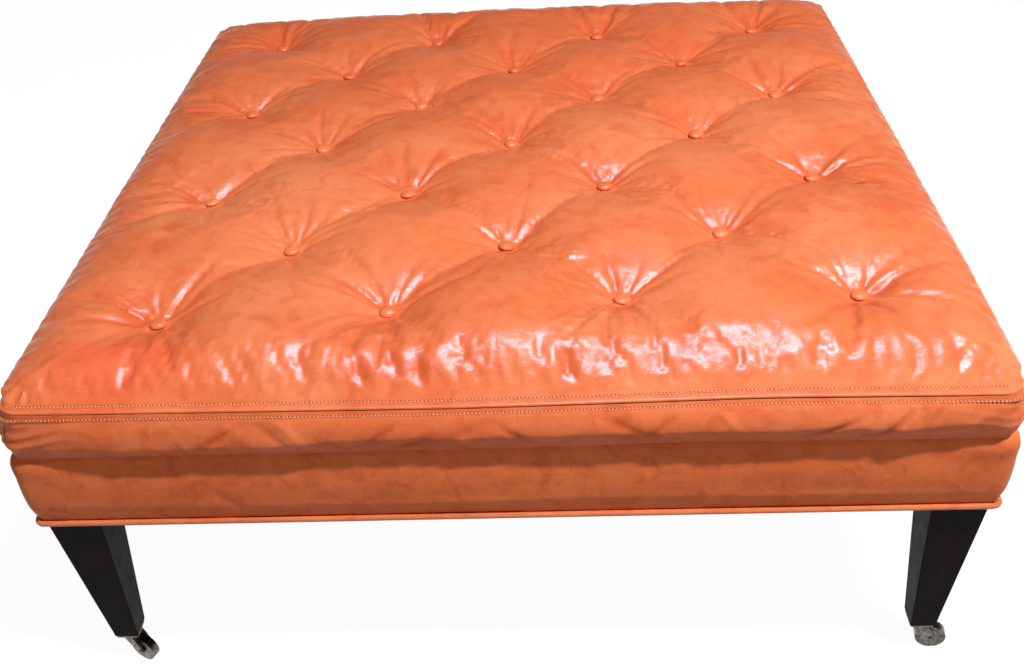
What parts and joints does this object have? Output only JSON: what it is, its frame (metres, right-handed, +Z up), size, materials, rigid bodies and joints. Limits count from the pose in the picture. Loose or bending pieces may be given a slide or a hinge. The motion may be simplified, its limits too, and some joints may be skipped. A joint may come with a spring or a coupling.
{
  "type": "ottoman coffee table",
  "caption": "Square tufted leather ottoman that serves as a coffee table, with a welted base and tapered legs on small swivel casters.",
  "frame": {"origin": "on the floor under the middle of the table", "axes": "+Z up, -Y towards the front seen in the picture, +X to the right"},
  "size_m": [1.067, 1.067, 0.4819],
  "materials": {
    "cushion_leather": "satin",
    "base_leather": "satin",
    "welt_leather": "satin",
    "foam": "matte",
    "wadding": "matte",
    "dust_cloth": "matte",
    "leg_lacquer": "satin",
    "frame_wood": "matte",
    "hardware_steel": "satin",
    "caster_metal": "satin"
  },
  "bodies": {
    "table": {"base_band": "base_leather", "base_padding": "wadding", "base_welt": "welt_leather", "boxing_front": "cushion_leather", "boxing_left": "cushion_leather", "boxing_rear": "cushion_leather", "boxing_right": "cushion_leather", "buttons": "cushion_leather", "caster_kingpins": "caster_metal", "caster_plates": "caster_metal", "corner_block_front_left": "frame_wood", "corner_block_front_right": "frame_wood", "corner_block_rear_left": "frame_wood", "corner_block_rear_right": "frame_wood", "cross_rail_left": "frame_wood", "cross_rail_right": "frame_wood", "dust_cover": "dust_cloth", "fibre_wrap": "wadding", "foam_core": "foam", "leg_front_left": "leg_lacquer", "leg_front_right": "leg_lacquer", "leg_plates": "hardware_steel", "leg_rear_left": "leg_lacquer", "leg_rear_right": "leg_lacquer", "rail_front": "frame_wood", "rail_left": "frame_wood", "rail_rear": "frame_wood", "rail_right": "frame_wood", "top_panel": "cushion_leather", "top_piping": "cushion_leather", "tuft_board": "frame_wood"},
    "caster_front_left": {"caster_fork_front_left": "caster_metal", "caster_axle_front_left": "caster_metal"},
    "wheel_front_left": {"caster_wheel_front_left": "caster_metal"},
    "caster_front_right": {"caster_fork_front_right": "caster_metal", "caster_axle_front_right": "caster_metal"},
    "wheel_front_right": {"caster_wheel_front_right": "caster_metal"},
    "caster_rear_left": {"caster_fork_rear_left": "caster_metal", "caster_axle_rear_left": "caster_metal"},
    "wheel_rear_left": {"caster_wheel_rear_left": "caster_metal"},
    "caster_rear_right": {"caster_fork_rear_right": "caster_metal", "caster_axle_rear_right": "caster_metal"},
    "wheel_rear_right": {"caster_wheel_rear_right": "caster_metal"}
  },
  "joints": [
    {"name": "swivel_front_left", "type": "hinge", "parent": "table", "child": "caster_front_left", "pos_m": [-0.4955, -0.4955, 0.043], "axis": [0, 0, 1], "continuous": true},
    {"name": "roll_front_left", "type": "hinge", "parent": "caster_front_left", "child": "wheel_front_left", "pos_m": [-0.481, -0.50226, 0.018], "axis": [0.4226, 0.9063, 0], "continuous": true},
    {"name": "swivel_front_right", "type": "hinge", "parent": "table", "child": "caster_front_right", "pos_m": [0.4955, -0.4955, 0.043], "axis": [0, 0, 1], "continuous": true},
    {"name": "roll_front_right", "type": "hinge", "parent": "caster_front_right", "child": "wheel_front_right", "pos_m": [0.51134, -0.49773, 0.018], "axis": [0.1392, 0.9903, 0], "continuous": true},
    {"name": "swivel_rear_left", "type": "hinge", "parent": "table", "child": "caster_rear_left", "pos_m": [-0.4955, 0.4955, 0.043], "axis": [0, 0, 1], "continuous": true},
    {"name": "roll_rear_left", "type": "hinge", "parent": "caster_rear_left", "child": "wheel_rear_left", "pos_m": [-0.51, 0.50226, 0.018], "axis": [-0.4226, -0.9063, 0], "continuous": true},
    {"name": "swivel_rear_right", "type": "hinge", "parent": "table", "child": "caster_rear_right", "pos_m": [0.4955, 0.4955, 0.043], "axis": [0, 0, 1], "continuous": true},
    {"name": "roll_rear_right", "type": "hinge", "parent": "caster_rear_right", "child": "wheel_rear_right", "pos_m": [0.50776, 0.50579, 0.018], "axis": [-0.6428, 0.766, 0], "continuous": true}
  ]
}
